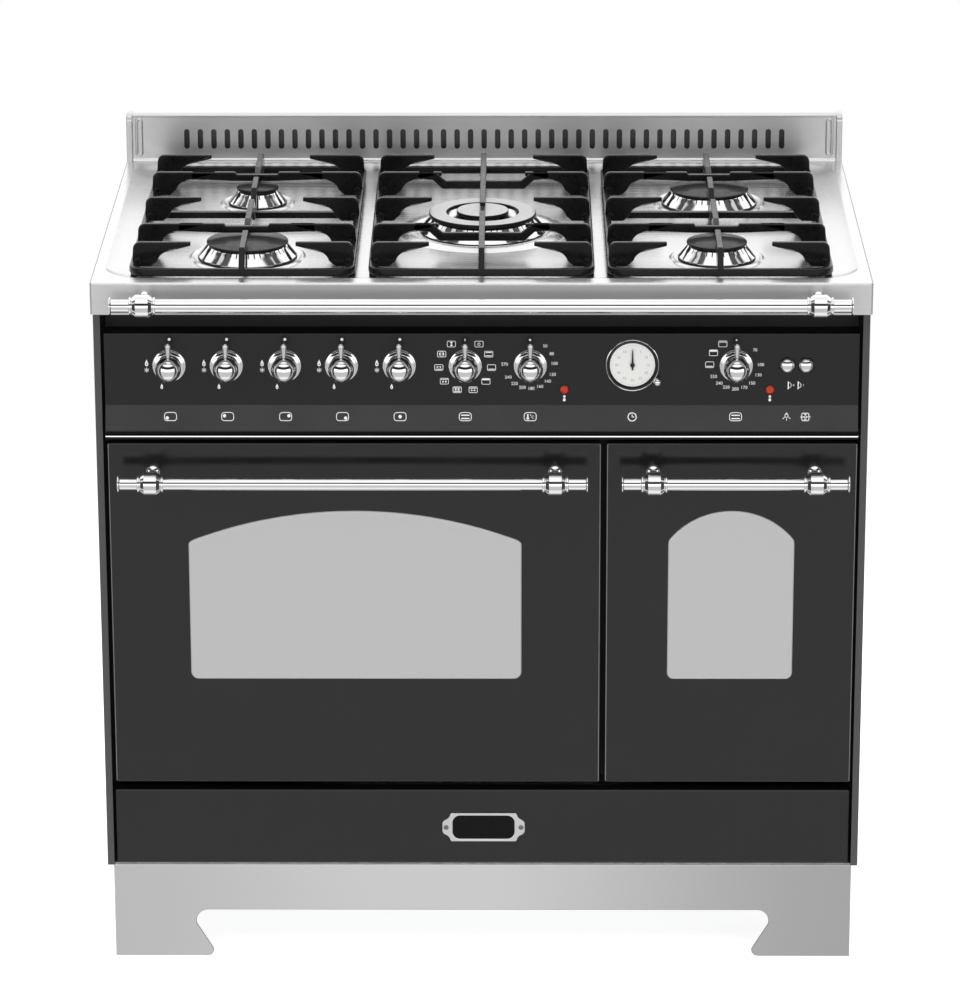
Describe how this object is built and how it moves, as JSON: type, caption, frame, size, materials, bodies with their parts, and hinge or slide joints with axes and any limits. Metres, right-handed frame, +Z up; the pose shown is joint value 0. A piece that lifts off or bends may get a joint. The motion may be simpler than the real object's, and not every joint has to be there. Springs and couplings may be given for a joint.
{
  "type": "range cooker",
  "caption": "Free-standing range cooker with gas hob under cast pan supports, two drop-down ovens, drawer, rails and round control knobs.",
  "frame": {"origin": "on the floor under the centre of the cooker's overall box", "axes": "+Z up, -Y towards the front with the knobs and doors, +X to the right seen from the front"},
  "size_m": [0.9, 0.648, 0.91],
  "materials": {
    "stainless": "brushed stainless steel",
    "chrome": "polished chrome plate",
    "enamel_grey": "dark grey satin enamel",
    "side_grey": "dark grey satin enamel",
    "frame_black": "black enamel",
    "galvanised": "galvanised sheet",
    "cast_black": "black satin enamel on cast iron",
    "burner_alloy": "die-cast aluminium, polished crowns",
    "cavity_enamel": "speckled grey-blue enamel",
    "door_inner_black": "black enamel",
    "window_glass": "mirror-tinted glass",
    "seal_rubber": "black braided gasket",
    "rack_chrome": "chromed wire",
    "heater_steel": "oxidised steel sheath",
    "motor_steel": "zinc-plated steel",
    "fan_alloy": "pressed aluminium",
    "lamp_glass": "clear oven lamp glass",
    "tap_brass": "turned brass",
    "spindle_steel": "turned steel",
    "switch_plastic": "moulded plastic",
    "lamp_red": "red translucent lens",
    "hand_black": "black paint",
    "plate_silver": "matt silver with a black enamelled panel",
    "foot_steel": "zinc-plated steel"
  },
  "bodies": {
    "root": {"plinth": "stainless", "adjustable_feet": "foot_steel", "base_pan": "galvanised", "side_panels": "side_grey", "rear_panel": "galvanised", "front_frame": "frame_black", "trim_strip": "chrome", "control_panel": "enamel_grey", "worktop": "stainless", "splashback": "stainless", "burner_bodies": "burner_alloy", "burner_crowns": "burner_alloy", "burner_caps": "cast_black", "gas_manifold": "tap_brass", "left_oven_cavity": "cavity_enamel", "right_oven_cavity": "cavity_enamel", "door_seals": "seal_rubber", "oven_racks": "rack_chrome", "heating_elements": "heater_steel", "fan_cover": "cavity_enamel", "fan_motor": "motor_steel", "oven_lamps": "lamp_glass", "knob_bezels": "chrome", "control_switches": "switch_plastic", "timer_body": "chrome", "indicator_lamps": "lamp_red", "towel_rail": "chrome", "drawer_runners": "galvanised"},
    "fan": {"fan_rotor": "fan_alloy"},
    "front_left_tap": {"front_left_spindle": "spindle_steel"},
    "front_left_control": {"front_left_knob": "chrome"},
    "rear_left_tap": {"rear_left_spindle": "spindle_steel"},
    "rear_left_control": {"rear_left_knob": "chrome"},
    "rear_right_tap": {"rear_right_spindle": "spindle_steel"},
    "rear_right_control": {"rear_right_knob": "chrome"},
    "front_right_tap": {"front_right_spindle": "spindle_steel"},
    "front_right_control": {"front_right_knob": "chrome"},
    "centre_tap": {"centre_spindle": "spindle_steel"},
    "centre_control": {"centre_knob": "chrome"},
    "oven_function": {"oven_function_knob": "chrome"},
    "oven_heat": {"oven_heat_knob": "chrome"},
    "small_oven": {"small_oven_knob": "chrome"},
    "timer_set": {"timer_knob": "chrome"},
    "timer_pointer": {"timer_hand": "hand_black"},
    "lamp_switch": {"lamp_button": "chrome"},
    "spit_switch": {"spit_button": "chrome"},
    "left_door": {"left_door_panel": "enamel_grey", "left_door_glass": "window_glass", "left_door_inner": "door_inner_black", "left_door_handle": "chrome"},
    "right_door": {"right_door_panel": "enamel_grey", "right_door_glass": "window_glass", "right_door_inner": "door_inner_black", "right_door_handle": "chrome"},
    "drawer": {"drawer_front": "enamel_grey", "drawer_box": "galvanised", "nameplate": "plate_silver"},
    "left_support": {"left_pan_support": "cast_black"},
    "centre_support": {"centre_pan_support": "cast_black"},
    "right_support": {"right_pan_support": "cast_black"}
  },
  "joints": [
    {"name": "fan_spin", "type": "hinge", "parent": "root", "child": "fan", "pos_m": [-0.15, 0.18, 0.45], "axis": [0, 1, 0], "continuous": true},
    {"name": "front_left_tap_turn", "type": "hinge", "parent": "root", "child": "front_left_tap", "pos_m": [-0.362, -0.24, 0.7445], "axis": [0, -1, 0], "range_deg": [0, 160]},
    {"name": "front_left_knob_push", "type": "slide", "parent": "front_left_tap", "child": "front_left_control", "axis": [0, 1, 0], "range_m": [0, 0.004], "stiffness_N_per_m": 500, "springref_m": -0.006},
    {"name": "rear_left_tap_turn", "type": "hinge", "parent": "root", "child": "rear_left_tap", "pos_m": [-0.2956, -0.24, 0.7445], "axis": [0, -1, 0], "range_deg": [0, 160]},
    {"name": "rear_left_knob_push", "type": "slide", "parent": "rear_left_tap", "child": "rear_left_control", "axis": [0, 1, 0], "range_m": [0, 0.004], "stiffness_N_per_m": 500, "springref_m": -0.006},
    {"name": "rear_right_tap_turn", "type": "hinge", "parent": "root", "child": "rear_right_tap", "pos_m": [-0.2282, -0.24, 0.7445], "axis": [0, -1, 0], "range_deg": [0, 160]},
    {"name": "rear_right_knob_push", "type": "slide", "parent": "rear_right_tap", "child": "rear_right_control", "axis": [0, 1, 0], "range_m": [0, 0.004], "stiffness_N_per_m": 500, "springref_m": -0.006},
    {"name": "front_right_tap_turn", "type": "hinge", "parent": "root", "child": "front_right_tap", "pos_m": [-0.1621, -0.24, 0.7445], "axis": [0, -1, 0], "range_deg": [0, 160]},
    {"name": "front_right_knob_push", "type": "slide", "parent": "front_right_tap", "child": "front_right_control", "axis": [0, 1, 0], "range_m": [0, 0.004], "stiffness_N_per_m": 500, "springref_m": -0.006},
    {"name": "centre_tap_turn", "type": "hinge", "parent": "root", "child": "centre_tap", "pos_m": [-0.0952, -0.24, 0.7445], "axis": [0, -1, 0], "range_deg": [0, 160]},
    {"name": "centre_knob_push", "type": "slide", "parent": "centre_tap", "child": "centre_control", "axis": [0, 1, 0], "range_m": [0, 0.004], "stiffness_N_per_m": 500, "springref_m": -0.006},
    {"name": "oven_function_turn", "type": "hinge", "parent": "root", "child": "oven_function", "pos_m": [-0.0189, -0.24, 0.7445], "axis": [0, -1, 0], "continuous": true},
    {"name": "oven_heat_turn", "type": "hinge", "parent": "root", "child": "oven_heat", "pos_m": [0.0565, -0.24, 0.7445], "axis": [0, -1, 0], "range_deg": [-274, 0]},
    {"name": "small_oven_turn", "type": "hinge", "parent": "root", "child": "small_oven", "pos_m": [0.2949, -0.24, 0.7445], "axis": [0, -1, 0], "range_deg": [-329, 0]},
    {"name": "timer_set_turn", "type": "hinge", "parent": "root", "child": "timer_set", "pos_m": [0.2036, -0.25, 0.7274], "axis": [0, -1, 0], "range_deg": [-330, 0]},
    {"name": "timer_pointer_turn", "type": "hinge", "parent": "root", "child": "timer_pointer", "pos_m": [0.1748, -0.25, 0.7454], "axis": [0, -1, 0], "range_deg": [-330, 0]},
    {"name": "lamp_button_push", "type": "slide", "parent": "root", "child": "lamp_switch", "axis": [0, 1, 0], "range_m": [0, 0.003], "stiffness_N_per_m": 400, "springref_m": -0.005},
    {"name": "spit_button_push", "type": "slide", "parent": "root", "child": "spit_switch", "axis": [0, 1, 0], "range_m": [0, 0.003], "stiffness_N_per_m": 400, "springref_m": -0.005},
    {"name": "left_door_hinge", "type": "hinge", "parent": "root", "child": "left_door", "pos_m": [-0.1485, -0.238, 0.24], "axis": [1, 0, 0], "range_deg": [0, 90], "stiffness_Nm_per_rad": 8, "springref_deg": -14.32},
    {"name": "right_door_hinge", "type": "hinge", "parent": "root", "child": "right_door", "pos_m": [0.29175, -0.238, 0.24], "axis": [1, 0, 0], "range_deg": [0, 90], "stiffness_Nm_per_rad": 4, "springref_deg": -14.32},
    {"name": "drawer_slide", "type": "slide", "parent": "root", "child": "drawer", "axis": [0, -1, 0], "range_m": [0, 0.34]},
    {"name": "left_support_lift", "type": "slide", "parent": "root", "child": "left_support", "axis": [0, 0, 1], "range_m": [0, 0.1]},
    {"name": "centre_support_lift", "type": "slide", "parent": "root", "child": "centre_support", "axis": [0, 0, 1], "range_m": [0, 0.1]},
    {"name": "right_support_lift", "type": "slide", "parent": "root", "child": "right_support", "axis": [0, 0, 1], "range_m": [0, 0.1]}
  ],
  "couplings": [
    {"joint": "timer_pointer_turn", "follows": "timer_set_turn", "ratio": 1}
  ]
}
